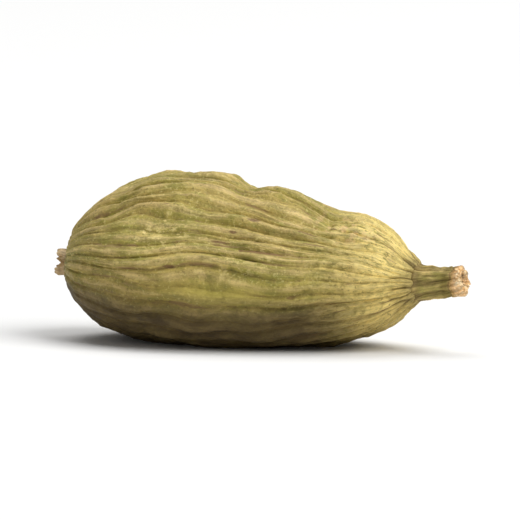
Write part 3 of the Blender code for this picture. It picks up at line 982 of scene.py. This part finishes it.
def stalk_side_colour(w, strand, patch):
    """Olive strands, brown at the root, with painted shade in the flutes and in the creases, and darkest
    before the joint.
    """
    base = w.mix(w.rise(patch, 0.38, 0.62), *STALK_OLIVE)
    rooted = w.mix(w.mark("root"), base, w.mix(strand, *ROOT_BROWN))
    # Painted shade in the flutes and in the creases between the fibres
    fluted = w.mix(w.rise(w.mark("crest"), 0.40, 0.0, 0.0, 0.45), rooted, FLUTE_SHADE_BROWN)
    creased = w.mix(w.rise(w.mark("strand"), 0.45, 0.05, 0.0, 0.50), fluted, STALK_CREASE_SHADE_BROWN)
    return w.mix(w.rise(w.mark("ring"), 0.0, 0.8, 0.0, 0.65), creased, RING_GREEN)


def stalk_tip_colour(w, colour, patch):
    """Beyond the joint a brown band, then a tan and orange cap with a dark core."""
    speckle = w.noise(w.skin(), 6.5, roughness=0.65)
    brown = w.mix(w.rise(speckle, 0.36, 0.64), *TIP_BROWN)
    tan = w.mix(w.rise(speckle, 0.36, 0.64), *CAP_TAN)
    cap = w.mix(w.rise(patch, 0.42, 0.60, 0.0, 0.55), tan, CAP_ORANGE)
    tipped = w.mix(w.mark("tip"), colour, w.mix(w.mark("cap"), brown, cap))
    core = w.mix(w.rise(speckle, 0.36, 0.62), *CORE_BROWN)
    cored = w.mix(w.rise(w.mark("core"), 0.0, 1.0, 0.0, 0.92), tipped, core)
    return w.mix(w.rise(w.mark("joint"), 0.3, 1.0, 0.0, 0.60), cored, JOINT_BROWN)


def stalk_material():
    """Green-brown strands, darkest before the joint, and a tan end beyond it with a dark core."""
    w = Wiring("stalk_skin")
    strand = w.noise(w.place(0.08), 9.0, detail=5.0, roughness=0.65)
    patch = w.noise(w.place(0.8), 1.4, roughness=0.6)
    grain = w.noise(w.place(0.7), 14.0, roughness=0.7)
    colour = stalk_tip_colour(w, stalk_side_colour(w, strand, patch), patch)
    streaked = w.varied(colour, w.rise(strand, 0.30, 0.70, 0.25, 0.75), 0.70)
    roughness = w.rise(strand, 0.3, 0.7, 0.62, 0.80)
    normal = w.bump(grain, 0.03 * MM, 0.8, w.bump(strand, 0.08 * MM, 0.9))
    return w.finish(w.varied(streaked, grain, 0.40), roughness, normal, specular=0.25)


def flower_material():
    """Withered papery cream and tan, with brown lines, a brown root and a dark inside."""
    w = Wiring("flower_skin")
    strand = w.noise(w.place(0.10), 9.0, detail=5.0, roughness=0.65)
    patch = w.noise(w.place(1.0), 2.2, roughness=0.6)
    grain = w.noise(w.place(0.7), 14.0, roughness=0.7)
    base = w.mix(w.rise(patch, 0.38, 0.62), *PAPER_CREAM)
    rooted = w.mix(w.rise(w.mark("tip"), 0.35, 0.0, 0.0, 0.75), base, PAPER_ROOT)
    lined = w.mix(w.rise(w.mark("strand"), 0.5, 0.0, 0.0, 0.40), rooted, PAPER_LINE)
    cored = w.mix(w.rise(w.mark("core"), 0.0, 1.0, 0.0, 0.85), lined, PAPER_INSIDE)
    grained = w.varied(w.varied(cored, strand, 0.60), grain, 0.40)
    roughness = w.rise(strand, 0.3, 0.7, 0.68, 0.85)
    return w.finish(grained, roughness, w.bump(strand, 0.06 * MM, 0.9), specular=0.25)


def make_husk(moved):
    """The husk's skin."""
    mesh = sculpted_sphere("husk_skin", HUSK_MERIDIANS, HUSK_RINGS, husk_surface, moved)
    add_piece("husk_skin", mesh, husk_material(), "husk")


def make_stalk(moved):
    """The stub of the stalk."""
    mesh = sculpted_sphere("stalk_stub", STALK_MERIDIANS, STALK_RINGS, stalk_surface, moved)
    add_piece("stalk_stub", mesh, stalk_material(), "stalk")


def make_flower_cup(moved):
    """The withered foot of the flower."""
    mesh = sculpted_sphere("flower_cup", FLOWER_MERIDIANS, FLOWER_RINGS, flower_surface, moved)
    add_piece("flower_cup", mesh, flower_material(), "flower_foot")


def aim_at(target, name, data, azimuth, elevation, distance):
    """A camera or a light that looks at the target. Azimuth 0 is the side of the pod at -Y."""
    way = Vector((
        math.sin(azimuth) * math.cos(elevation),
        -math.cos(azimuth) * math.cos(elevation),
        math.sin(elevation),
    ))
    thing = bpy.data.objects.new(name, data)
    thing.location = target + way * distance
    thing.rotation_euler = way.to_track_quat("Z", "Y").to_euler()
    bpy.context.scene.collection.objects.link(thing)
    return thing


def make_camera():
    """A long lens at the photograph's angle, aimed at the pod's middle."""
    lowest, highest = CAD_BOX
    middle = (lowest + highest) / 2
    data = bpy.data.cameras.new("camera")
    data.sensor_width = SENSOR_WIDTH
    data.lens = SENSOR_WIDTH * CAMERA_DISTANCE / FRAME_WIDTH
    camera = aim_at(middle, "camera", data, CAMERA_AZIMUTH, CAMERA_ELEVATION, CAMERA_DISTANCE)
    bpy.context.scene.camera = camera


def make_floor():
    """A plain pale floor at z = 0."""
    bpy.ops.mesh.primitive_plane_add(size=FLOOR_SIZE)
    floor = bpy.context.active_object
    floor.name = "floor"
    w = Wiring("floor_white")
    w.shader.inputs["Base Color"].default_value = FLOOR_WHITE
    w.shader.inputs["Roughness"].default_value = 0.9
    w.shader.inputs["Specular IOR Level"].default_value = 0.1
    floor.data.materials.append(w.material)


def make_lights():
    """Two soft lights in an even white room."""
    for name, azimuth, elevation, size, watts in LIGHTS:
        data = bpy.data.lights.new(name, "AREA")
        data.size = size
        data.energy = watts
        aim_at(Vector(), name, data, azimuth, elevation, LIGHT_DISTANCE)
    world = bpy.data.worlds.new("soft_room")
    world.use_nodes = True
    world.node_tree.nodes["Background"].inputs["Color"].default_value = ROOM_WHITE
    world.node_tree.nodes["Background"].inputs["Strength"].default_value = ROOM_STRENGTH
    bpy.context.scene.world = world
    bpy.context.scene.view_settings.view_transform = "Standard"


make_camera()
make_floor()
make_lights()
moved = set_down()
make_husk(moved)
make_stalk(moved)
make_flower_cup(moved)
